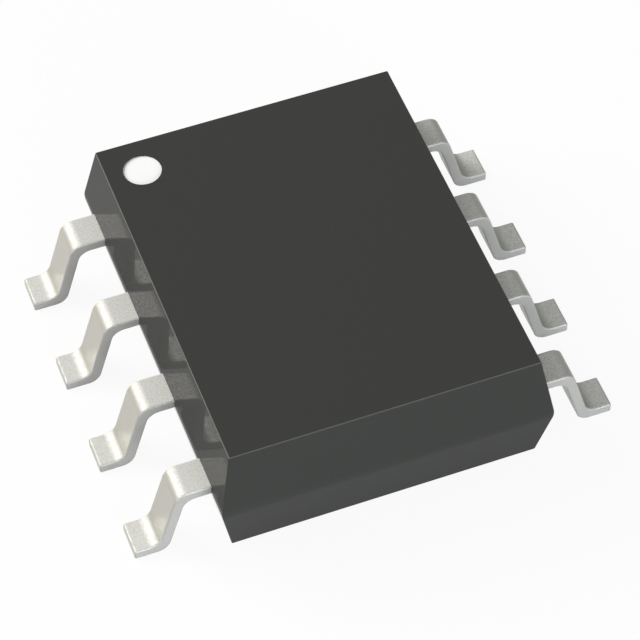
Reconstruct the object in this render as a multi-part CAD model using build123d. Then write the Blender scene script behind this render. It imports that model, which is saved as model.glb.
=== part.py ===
from build123d import *

import os
from math import cos, radians, sin, tan

# Small-outline chip package with eight gull-wing leads, in millimetres.
# X runs across the body, out along the leads. Y runs along the two rows of leads.
# Z = 0 is the board that the feet stand on, and the origin is below the middle of the body.
# Lead 1 is at -X, +Y. The leads count down that side and back up the other.

# Moulded body
overall_height = 1.75
standoff = 0.10
body_width = 4.00
body_length = 5.00
parting_height = 0.89
parting_radius = 0.43
side_draft = 10.3
end_draft = 9.8
body_edge_radius = 0.015

# Leads outside the body
lead_pitch = 1.27
leads_per_side = 4
lead_span = 5.88
lead_width = 0.43
lead_thickness = 0.13
foot_length = 0.40
shank_lean = 16.0
bend_radius = 0.165
lead_edge_break = 0.012

# Flat fingers of the leads inside the body
finger_reach = 0.86
root_depth = 0.15
neck_length = 0.15
tip_length = 0.38
tip_width = 0.50
tip_pitch = 0.95

# Pad under the chip, with a tie bar at each end
paddle_gap = 0.20
paddle_length = 3.10
paddle_drop = 0.20
tie_bar_width = 0.30
tie_bar_slope = 45.0
tie_bar_flat = 0.30
tie_bar_cover = 0.12

# Chip and the adhesive below it
die_width = 1.45
die_length = 2.10
die_height = 0.25
attach_thickness = 0.03
attach_margin = 0.05

# Bond wires, drawn with a few flat sides because they are so thin
wire_sides = 8
wire_diameter = 0.025
ball_diameter = 0.07
ball_height = 0.02
pad_inset = 0.09
pad_pitch = 0.52
loop_height = 0.20
kink_radius = 0.06
stitch_inset = 0.16

# Pin 1 mark in its recess
mark_diameter = 0.46
mark_side_inset = 0.435
mark_end_inset = 0.45
recess_depth = 0.035
ink_thickness = 0.015

# Places that follow from the sizes above
half_width = body_width / 2
half_length = body_length / 2
frame_top = parting_height + lead_thickness / 2
frame_bottom = parting_height - lead_thickness / 2
root_x = half_width - root_depth
finger_tip_x = half_width - finger_reach
paddle_top = frame_top - paddle_drop
paddle_bottom = frame_bottom - paddle_drop
paddle_width = 2 * (finger_tip_x - paddle_gap)
die_bottom = paddle_top + attach_thickness
die_top = die_bottom + die_height


def places(pitch):
    """Places along Y of one row of leads, from -Y to +Y."""
    return [(index - (leads_per_side - 1) / 2) * pitch for index in range(leads_per_side)]


def rim_size(half_size, draft, height):
    """Half width or half length of the drafted walls at the top or bottom rim."""
    corner = half_size + parting_radius * (1 / cos(radians(draft)) - 1)
    return corner - abs(height - parting_height) * tan(radians(draft))


def drafted_section(half_size, draft):
    """Section of the moulding, whose drafted sides meet in a rounded parting line."""
    reach = half_size - parting_radius * (1 - cos(radians(draft)))
    rise = parting_radius * sin(radians(draft))
    top = Vector(rim_size(half_size, draft, overall_height), overall_height)
    upper = Vector(reach, parting_height + rise)
    middle = Vector(half_size, parting_height)
    lower = Vector(reach, parting_height - rise)
    bottom = Vector(rim_size(half_size, draft, standoff), standoff)
    right = [Line(top, upper), ThreePointArc(upper, middle, lower), Line(lower, bottom)]
    left = [mirror(edge, Plane.YZ) for edge in right]
    roof = Line(top, (-top.X, top.Y))
    base = Line(bottom, (-bottom.X, bottom.Y))
    return make_face([*right, *left, roof, base])


def make_block():
    """Outer form of the moulding, where the two drafted sections cross, with its edges eased."""
    across = extrude(Plane.XZ * drafted_section(half_width, side_draft), half_length, both=True)
    along = extrude(Plane.YZ * drafted_section(half_length, end_draft), half_width, both=True)
    block = across & along
    return fillet(block.edges(), body_edge_radius)


def make_gull_wing(y):
    """Bent outer part of a lead on the +X side, from inside the body's wall to the toe."""
    lean = tan(radians(shank_lean))
    toe = lead_span / 2
    heel = toe - foot_length
    front = heel + lead_thickness / cos(radians(shank_lean))
    corners = [
        (root_x, frame_top),
        (front - frame_top * lean, frame_top),
        (front - lead_thickness * lean, lead_thickness),
        (toe, lead_thickness),
        (toe, 0),
        (heel, 0),
        (heel - frame_bottom * lean, frame_bottom),
        (root_x, frame_bottom),
    ]
    profile = make_face(Polyline(corners, close=True))
    bends = profile.vertices().sort_by(Axis.X)[2:-2]
    profile = fillet(bends, bend_radius)
    strip = extrude(Plane.XZ * profile, lead_width / 2, both=True)
    sides = strip.faces().sort_by(Axis.Y)
    end = strip.faces().sort_by(Axis.X)[-1]
    rims = (sides[0].edges() + sides[-1].edges() + end.edges()).filter_by(
        lambda edge: edge.center().X > root_x + lead_edge_break
    )
    return Pos(0, y, 0) * chamfer(rims, lead_edge_break)


def make_finger(y, tip_y):
    """Flat inner part of a +X lead, which widens and fans in to its tip beside the chip."""
    neck_x = root_x - neck_length
    tip_start_x = finger_tip_x + tip_length
    upper = [
        (root_x, y + lead_width / 2),
        (neck_x, y + lead_width / 2),
        (tip_start_x, tip_y + tip_width / 2),
        (finger_tip_x, tip_y + tip_width / 2),
    ]
    lower = [
        (finger_tip_x, tip_y - tip_width / 2),
        (tip_start_x, tip_y - tip_width / 2),
        (neck_x, y - lead_width / 2),
        (root_x, y - lead_width / 2),
    ]
    outline = make_face(Polyline(upper + lower, close=True))
    return extrude(Pos(0, 0, frame_bottom) * outline, lead_thickness)


def make_tie_bar():
    """Strip that joins the +Y end of the pad to the level of the leads, cut off inside the wall."""
    corner_shift = lead_thickness * tan(radians(tie_bar_slope / 2))
    end = half_length - tie_bar_cover
    upper_bend = end - tie_bar_flat
    lower_bend = upper_bend - paddle_drop / tan(radians(tie_bar_slope))
    corners = [
        (0, paddle_bottom),
        (lower_bend, paddle_bottom),
        (upper_bend, frame_bottom),
        (end, frame_bottom),
        (end, frame_top),
        (upper_bend - corner_shift, frame_top),
        (lower_bend - corner_shift, paddle_top),
        (0, paddle_top),
    ]
    profile = make_face(Polyline(corners, close=True))
    return extrude(Plane.YZ * profile, tie_bar_width / 2, both=True)


def make_paddle():
    """Pad under the chip, set down below the leads, with both tie bars."""
    plate = Pos(0, 0, paddle_bottom) * Box(
        paddle_width, paddle_length, lead_thickness, align=(Align.CENTER, Align.CENTER, Align.MIN)
    )
    tie_bar = make_tie_bar()
    return plate + tie_bar + mirror(tie_bar, Plane.XZ)


def make_slab(width, length, bottom, top):
    """Upright block centred on Z between two heights."""
    return Pos(0, 0, bottom) * extrude(Rectangle(width, length), top - bottom)


def make_wire(y, tip_y, lead):
    """Ball on the chip, a short upright neck, a kink and one run down to the finger of a +X lead."""
    start = Vector(die_width / 2 - pad_inset, y, die_top)
    kink = start + Vector(0, 0, loop_height)
    stitch = Vector(finger_tip_x + stitch_inset, tip_y, frame_top)
    past = stitch + (stitch - kink).normalized() * lead_thickness / 2
    path = FilletPolyline(start, kink, past, radius=kink_radius)
    wire = sweep(Plane(start) * RegularPolygon(wire_diameter / 2, wire_sides), path)
    ball = extrude(Plane(start) * RegularPolygon(ball_diameter / 2, wire_sides), ball_height)
    return wire + ball - lead


def make_disc(bottom, thickness):
    """Round disc at the place of the pin 1 mark, near the -X, +Y corner of the top."""
    x = mark_side_inset - rim_size(half_width, side_draft, overall_height)
    y = rim_size(half_length, end_draft, overall_height) - mark_end_inset
    return Pos(x, y, bottom) * extrude(Circle(mark_diameter / 2), thickness)


half_turn = Rot(0, 0, 180)
pieces = {}
rows = zip(places(lead_pitch), places(tip_pitch), places(pad_pitch))
for number, (lead_y, tip_y, pad_y) in enumerate(rows, start=1):
    lead = make_gull_wing(lead_y) + make_finger(lead_y, tip_y)
    wire = make_wire(pad_y, tip_y, lead)
    pieces[f"lead_{number + leads_per_side}"] = lead
    pieces[f"lead_{number}"] = half_turn * lead
    pieces[f"bond_wire_{number + leads_per_side}"] = wire
    pieces[f"bond_wire_{number}"] = half_turn * wire

pieces["die_paddle"] = make_paddle()
pieces["die_attach"] = make_slab(
    die_width + 2 * attach_margin, die_length + 2 * attach_margin, paddle_top, die_bottom
)
pieces["silicon_die"] = make_slab(die_width, die_length, die_bottom, die_top)
recess_floor = overall_height - recess_depth
moulded_body = make_block() - list(pieces.values()) - make_disc(recess_floor, recess_depth)
pieces["pin_one_mark"] = make_disc(recess_floor, ink_thickness)
pieces["moulded_body"] = moulded_body

os.makedirs("parts", exist_ok=True)
for name, piece in pieces.items():
    piece.label = name
    export_step(piece, f"parts/{name}.step")
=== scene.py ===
from math import cos, pi, radians, sin

import bpy
from mathutils import Matrix, Vector

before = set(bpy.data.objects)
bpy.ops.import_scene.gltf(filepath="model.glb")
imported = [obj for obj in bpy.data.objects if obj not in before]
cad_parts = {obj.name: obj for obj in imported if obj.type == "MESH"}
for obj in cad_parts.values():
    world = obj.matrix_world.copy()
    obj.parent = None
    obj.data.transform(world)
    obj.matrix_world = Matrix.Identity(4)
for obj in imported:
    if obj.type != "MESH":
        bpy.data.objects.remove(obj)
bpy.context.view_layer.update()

# Lengths are millimetres times MM, angles are in degrees, and colours are linear, from 0 to 1.
# The frame is the part's own: Z = 0 is the board, and lead 1 is at -X, +Y.
MM = 0.001

# Camera, fitted to the corner points of the photographed part
VIEW_ELEVATION = 52.17
VIEW_TURN = 20.47
VIEW_ROLL = -0.20
VIEW_DISTANCE = 34.63 * MM
VIEW_AIM = Vector((-0.020, -0.303, 0.9)) * MM
VIEW_LENS = 167.34
VIEW_NEAR = 1 * MM
VIEW_FAR = 1000 * MM

# Light: even room, a wide strong lamp behind the part at the left, a low wide one in front
ROOM_GREY = (0.242, 0.242, 0.240)
LAMP_DISTANCE = 90 * MM
KEY_COLOUR = (1.0, 0.99, 0.955)
FRONT_COLOUR = (0.92, 1.0, 0.99)

# Floor, just below the feet, and the share of its shadow that the picture shows
FLOOR_SIZE = 400 * MM
FLOOR_DROP = 0.001 * MM
FLOOR_COLOUR = (0.88, 0.88, 0.88)
FLOOR_SHADOW = 0.07

# Rounding that the leads' edges are shaded with, to soften their narrow rims
LEAD_ROUNDING = 0.03 * MM
ROUNDING_SAMPLES = 6

# Range that most values of a noise lie in
NOISE_RANGE = (0.3, 0.7)

# Range of a normal's Z over which an edge comes to face upwards
UPWARD = (0.30, 0.45)


def direction(turn, elevation):
    """Unit vector towards a lamp or the camera. Turn is counted from -Y towards -X."""
    t, e = radians(turn), radians(elevation)
    return Vector((-sin(t) * cos(e), -cos(t) * cos(e), sin(e)))


def make_camera():
    """Camera at the photograph's viewing angle."""
    data = bpy.data.cameras.new("camera")
    data.lens = VIEW_LENS
    data.clip_start = VIEW_NEAR
    data.clip_end = VIEW_FAR
    camera = bpy.data.objects.new("camera", data)
    camera.location = VIEW_AIM + direction(VIEW_TURN, VIEW_ELEVATION) * VIEW_DISTANCE
    turned = Matrix.Rotation(radians(-VIEW_TURN), 3, "Z")
    tilted = Matrix.Rotation(radians(90 - VIEW_ELEVATION), 3, "X")
    rolled = Matrix.Rotation(radians(VIEW_ROLL), 3, "Z")
    camera.rotation_euler = (turned @ tilted @ rolled).to_euler()
    bpy.context.collection.objects.link(camera)
    bpy.context.scene.camera = camera


def make_lamp(name, turn, elevation, width, light, colour):
    """Square soft lamp, width degrees wide, that lights a white sheet facing it to this level."""
    data = bpy.data.lights.new(name, "AREA")
    data.size = 2 * LAMP_DISTANCE * sin(radians(width / 2))
    data.energy = light * pi**2 * LAMP_DISTANCE**2
    data.color = colour
    lamp = bpy.data.objects.new(name, data)
    towards = direction(turn, elevation)
    lamp.location = towards * LAMP_DISTANCE
    lamp.rotation_euler = towards.to_track_quat("Z", "Y").to_euler()
    lamp.visible_camera = False
    bpy.context.collection.objects.link(lamp)


def make_room():
    """Even grey light from all round."""
    world = bpy.data.worlds.new("room")
    world.use_nodes = True
    world.node_tree.nodes["Background"].inputs["Color"].default_value = (*ROOM_GREY, 1)
    bpy.context.scene.world = world


class Shader:
    """Node tree of one material, with short ways to add its nodes and links.

    place is the point in the object's own axes, and facing has the X, Y and Z of its normal.
    rounded is the normal with rounded edges, or None where the material has no rounding.
    """

    def __init__(self, name, rounding=None):
        self.material = bpy.data.materials.new(name)
        self.material.use_nodes = True
        self.tree = self.material.node_tree
        self.surface = self.tree.nodes["Principled BSDF"]
        here = self.add("ShaderNodeTexCoord")
        self.place = here.outputs["Object"]
        self.rounded = None
        normal = here.outputs["Normal"]
        if rounding is not None:
            self.rounded = self.round_edges(rounding)
            normal = self.turn_to_object(self.rounded)
        split = self.add("ShaderNodeSeparateXYZ")
        self.join(normal, split.inputs["Vector"])
        self.facing = split.outputs

    def add(self, kind, **settings):
        """A new node with these settings."""
        node = self.tree.nodes.new(kind)
        for key, value in settings.items():
            setattr(node, key, value)
        return node

    def join(self, source, target):
        """A link from one socket to another."""
        self.tree.links.new(source, target)

    def feed(self, socket, source):
        """A link to one socket of the surface."""
        self.join(source, self.surface.inputs[socket])

    def fix(self, **values):
        """Values that are the same all over the surface."""
        for key, value in values.items():
            self.surface.inputs[key.replace("_", " ")].default_value = value

    def round_edges(self, radius):
        """Normals that shade the edges as if they were rounded by this radius."""
        node = self.add("ShaderNodeBevel", samples=ROUNDING_SAMPLES)
        node.inputs["Radius"].default_value = radius
        return node.outputs["Normal"]

    def turn_to_object(self, normal):
        """A normal in the object's own axes."""
        node = self.add(
            "ShaderNodeVectorTransform",
            vector_type="NORMAL",
            convert_from="WORLD",
            convert_to="OBJECT",
        )
        self.join(normal, node.inputs["Vector"])
        return node.outputs["Vector"]

    def noise(self, size, detail=2.0, stretch=(1, 1, 1)):
        """Noise whose lumps are about so many millimetres across."""
        mapping = self.add("ShaderNodeMapping")
        mapping.inputs["Scale"].default_value = stretch
        self.join(self.place, mapping.inputs["Vector"])
        node = self.add("ShaderNodeTexNoise")
        node.inputs["Scale"].default_value = 1 / (size * MM)
        node.inputs["Detail"].default_value = detail
        self.join(mapping.outputs["Vector"], node.inputs["Vector"])
        return node.outputs["Fac"]

    def cells(self, size, distance="EUCLIDEAN"):
        """Distance to the middle of cells that are about so many millimetres across."""
        node = self.add("ShaderNodeTexVoronoi", distance=distance)
        node.inputs["Scale"].default_value = 1 / (size * MM)
        self.join(self.place, node.inputs["Vector"])
        return node.outputs["Distance"]

    def spread(self, source, low, high, over=NOISE_RANGE):
        """A number that goes from low to high while the source goes over the range."""
        node = self.add("ShaderNodeMapRange")
        for socket, value in zip(("From Min", "From Max", "To Min", "To Max"), (*over, low, high)):
            node.inputs[socket].default_value = value
        self.join(source, node.inputs["Value"])
        return node.outputs["Result"]

    def band(self, source, rise, fall):
        """A number that goes from 0 to 1 over the first range and back to 0 over the second."""
        return self.math(
            "MULTIPLY",
            self.spread(source, 0, 1, over=rise),
            self.spread(source, 1, 0, over=fall),
        )

    def blend(self, source, first, second, over=NOISE_RANGE):
        """A colour that goes from first to second while the source goes over the range."""
        node = self.add("ShaderNodeValToRGB")
        for stop, place, colour in zip(node.color_ramp.elements, over, (first, second)):
            stop.position = place
            stop.color = (*colour, 1)
        self.join(source, node.inputs["Fac"])
        return node.outputs["Color"]

    def math(self, operation, first, second=None):
        """One sum on one or two numbers or outputs."""
        node = self.add("ShaderNodeMath", operation=operation)
        for socket, value in zip(node.inputs, (first, second)):
            if isinstance(value, (int, float)):
                socket.default_value = value
            elif value is not None:
                self.join(value, socket)
        return node.outputs["Value"]

    def mix(self, share, first, second):
        """The first colour, changed to the second by the share."""
        node = self.add("ShaderNodeMix", data_type="RGBA")
        self.join(share, node.inputs["Factor"])
        for socket, value in ((node.inputs["A"], first), (node.inputs["B"], second)):
            if isinstance(value, tuple):
                socket.default_value = (*value, 1)
            else:
                self.join(value, socket)
        return node.outputs["Result"]

    def bump(self, source, height, after=None):
        """Fine relief, so many millimetres high, on top of other normals where these are given."""
        node = self.add("ShaderNodeBump")
        node.inputs["Distance"].default_value = height * MM
        node.inputs["Strength"].default_value = 1.0
        self.join(source, node.inputs["Height"])
        if after is not None:
            self.join(after, node.inputs["Normal"])
        return node.outputs["Normal"]


def moulding():
    """Dark epoxy moulding with a faint speckle of filler, and rougher upper edges painted paler as
    a highlight.
    """
    resin, speckle = (0.0510, 0.0510, 0.0495), (0.0538, 0.0538, 0.0523)
    rim_highlight_side, rim_highlight_end = (0.155, 0.155, 0.15), (0.115, 0.117, 0.115)
    rim_highlight_roughness = 0.35
    shader = Shader("moulding")
    filler = shader.noise(0.022, detail=3.0)
    clouds = shader.noise(0.9)
    # Upper rims painted paler as a highlight, paler on the sides than on the ends
    edge = shader.band(shader.facing["Z"], rise=UPWARD, fall=(0.90, 0.97))
    end = shader.spread(shader.math("ABSOLUTE", shader.facing["Y"]), 0, 1, over=(0.3, 0.7))
    rim_highlight = shader.mix(end, rim_highlight_side, rim_highlight_end)
    shader.feed("Base Color", shader.mix(edge, shader.blend(filler, resin, speckle), rim_highlight))
    polish = shader.spread(clouds, 0.020, 0.035)
    dulled = shader.math("MULTIPLY", edge, rim_highlight_roughness)
    shader.feed("Roughness", shader.math("ADD", polish, dulled))
    shader.feed("Normal", shader.bump(filler, 0.00002))
    shader.fix(Specular_IOR_Level=0.0155, Specular_Tint=(1.0, 0.975, 0.92, 1))
    return shader.material


def tin():
    """Matt tin plating with a fine grain, less metallic on the bent shanks and on the sheared
    sides, darker there partly as their own duller tin and partly as painted shade, and paler on
    the upper edges of the sides as a painted highlight.
    """
    dark_grain, pale_grain = (0.710, 0.700, 0.665), (1.0, 0.990, 0.945)
    shank_tin, side_tin = (0.398, 0.385, 0.348), (0.460, 0.451, 0.444)
    highlight_tin, highlight_share = (0.88, 0.87, 0.84), 0.45
    shank_shine, side_shine = 0.67, 0.3
    bend_roughness = 0.12
    shader = Shader("tin", rounding=LEAD_ROUNDING)
    grain = shader.noise(0.028, detail=5.0)
    clouds = shader.noise(0.25)
    along = shader.math("ABSOLUTE", shader.facing["X"])
    across = shader.math("ABSOLUTE", shader.facing["Y"])

    plate = shader.blend(grain, dark_grain, pale_grain)
    # Bends, shanks and sheared sides are darker: partly their own duller tin, partly painted shade
    steep = shader.spread(along, 0, 1, over=(0.0, 0.72))
    plate = shader.mix(steep, plate, shank_tin)
    sheared = shader.spread(across, 0, 1, over=(0.5, 0.9))
    plate = shader.mix(sheared, plate, side_tin)
    # Upper edges of the sheared sides painted paler as a highlight
    upper = shader.spread(shader.facing["Z"], 0, highlight_share, over=UPWARD)
    edge = shader.math("MULTIPLY", shader.spread(across, 0, 1, over=(0.25, 0.40)), upper)
    shader.feed("Base Color", shader.mix(edge, plate, highlight_tin))

    bend = shader.band(along, rise=(0.04, 0.20), fall=(0.60, 0.90))
    dull = shader.math("ADD", shader.spread(grain, 0.39, 0.28), shader.spread(clouds, 0, 0.03))
    dulled = shader.math("MULTIPLY", bend, bend_roughness)
    shader.feed("Roughness", shader.math("ADD", dull, dulled))

    shine = shader.spread(grain, 0.23, 0.43)
    on_shank = shader.spread(along, 1, shank_shine, over=(0.02, 0.10))
    on_side = shader.spread(across, 1, side_shine, over=(0.2, 0.6))
    shine = shader.math("MULTIPLY", shader.math("MULTIPLY", shine, on_shank), on_side)
    shader.feed("Metallic", shine)
    shader.feed("Normal", shader.bump(grain, 0.001, after=shader.rounded))
    return shader.material


def ink():
    """White screened ink, faintly uneven."""
    thin, thick = (0.975, 0.975, 0.98), (0.99, 0.99, 0.995)
    shader = Shader("ink")
    specks = shader.noise(0.012, detail=3.0)
    cover = shader.noise(0.12)
    shader.feed("Base Color", shader.blend(cover, thin, thick))
    shader.feed("Roughness", shader.spread(specks, 0.55, 0.70))
    shader.feed("Normal", shader.bump(specks, 0.0003))
    return shader.material


def copper():
    """Rolled copper strip, with fine rolling lines and a slight tarnish."""
    groove, ridge, brown = (0.70, 0.40, 0.27), (0.80, 0.49, 0.34), (0.46, 0.24, 0.15)
    shader = Shader("copper")
    lines = shader.noise(0.010, detail=3.0, stretch=(1, 0.05, 1))
    tarnish = shader.noise(0.45, detail=3.0)
    rolled = shader.blend(lines, groove, ridge)
    shader.feed("Base Color", shader.mix(shader.spread(tarnish, 0, 0.6), rolled, brown))
    shader.feed("Roughness", shader.spread(tarnish, 0.26, 0.44))
    shader.feed("Normal", shader.bump(lines, 0.0006))
    shader.fix(Metallic=1.0)
    return shader.material


def adhesive():
    """Grey adhesive with silver flakes."""
    silver, glue = (0.66, 0.66, 0.66), (0.40, 0.40, 0.41)
    middle_to_rim = (0.1, 0.7)
    shader = Shader("adhesive")
    flakes = shader.cells(0.014)
    lumps = shader.noise(0.10)
    shader.feed("Base Color", shader.blend(flakes, silver, glue, over=middle_to_rim))
    shader.feed("Metallic", shader.spread(flakes, 0.7, 0.1, over=middle_to_rim))
    shader.feed("Roughness", shader.spread(lumps, 0.45, 0.65))
    shader.feed("Normal", shader.bump(lumps, 0.002))
    return shader.material


def silicon():
    """Polished silicon with the faint blocks and rows of its circuit."""
    dark, pale, trace = (0.10, 0.115, 0.15), (0.21, 0.215, 0.25), (0.26, 0.25, 0.30)
    middle_to_rim = (0.1, 0.8)
    shader = Shader("silicon")
    blocks = shader.cells(0.24, distance="CHEBYCHEV")
    rows = shader.noise(0.012, detail=1.0, stretch=(1, 0.1, 1))
    ground = shader.blend(blocks, dark, pale, over=middle_to_rim)
    traces = shader.spread(rows, 0, 0.5, over=(0.45, 0.55))
    shader.feed("Base Color", shader.mix(traces, ground, trace))
    shader.feed("Metallic", shader.spread(blocks, 0.2, 0.5, over=middle_to_rim))
    shader.feed("Roughness", shader.spread(rows, 0.08, 0.20))
    return shader.material


def gold():
    """Drawn gold wire with faint lengthwise streaks."""
    deep, pale = (0.90, 0.62, 0.21), (0.98, 0.75, 0.33)
    shader = Shader("gold")
    streaks = shader.noise(0.004, stretch=(0.08, 1, 1))
    clouds = shader.noise(0.08)
    shader.feed("Base Color", shader.blend(clouds, deep, pale))
    shader.feed("Roughness", shader.spread(streaks, 0.20, 0.34))
    shader.feed("Normal", shader.bump(streaks, 0.0002))
    shader.fix(Metallic=1.0)
    return shader.material


def floor_paint():
    """Floor that is seen and mirrored as white, but for a share of the part's shadow."""
    shader = Shader("floor")
    lit = shader.add("ShaderNodeBsdfDiffuse")
    lit.inputs["Color"].default_value = (*FLOOR_COLOUR, 1)
    white = shader.add("ShaderNodeEmission")
    rays = shader.add("ShaderNodeLightPath").outputs
    seen = shader.math("MAXIMUM", rays["Is Camera Ray"], rays["Is Glossy Ray"])
    seen = shader.math("MAXIMUM", seen, rays["Is Transmission Ray"])
    share = shader.math("MULTIPLY", seen, 1 - FLOOR_SHADOW)
    either = shader.add("ShaderNodeMixShader")
    for source, socket in zip((share, lit.outputs[0], white.outputs[0]), either.inputs):
        shader.join(source, socket)
    shader.join(either.outputs[0], shader.tree.nodes["Material Output"].inputs["Surface"])
    shader.tree.nodes.remove(shader.surface)
    return shader.material


def make_floor():
    """Plain pale floor under the feet."""
    half = FLOOR_SIZE / 2
    corners = [(x * half, y * half, -FLOOR_DROP) for x, y in ((-1, -1), (1, -1), (1, 1), (-1, 1))]
    mesh = bpy.data.meshes.new("floor")
    mesh.from_pydata(corners, [], [(0, 1, 2, 3)])
    mesh.materials.append(floor_paint())
    floor = bpy.data.objects.new("floor", mesh)
    bpy.context.collection.objects.link(floor)


def paint_all():
    """Gives every CAD node the material of its kind, which is its name without the number."""
    kinds = {
        "moulded_body": moulding(),
        "lead": tin(),
        "pin_one_mark": ink(),
        "die_paddle": copper(),
        "die_attach": adhesive(),
        "silicon_die": silicon(),
        "bond_wire": gold(),
    }
    for name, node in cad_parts.items():
        kind = name.rstrip("0123456789_")
        for slot in node.material_slots:
            slot.material = kinds[kind]


make_camera()
make_room()
make_floor()
make_lamp("key", turn=130, elevation=35, width=44, light=1.27, colour=KEY_COLOUR)
make_lamp("front", turn=-7, elevation=8, width=34, light=0.97, colour=FRONT_COLOUR)
paint_all()

bpy.context.scene.view_settings.view_transform = "Standard"
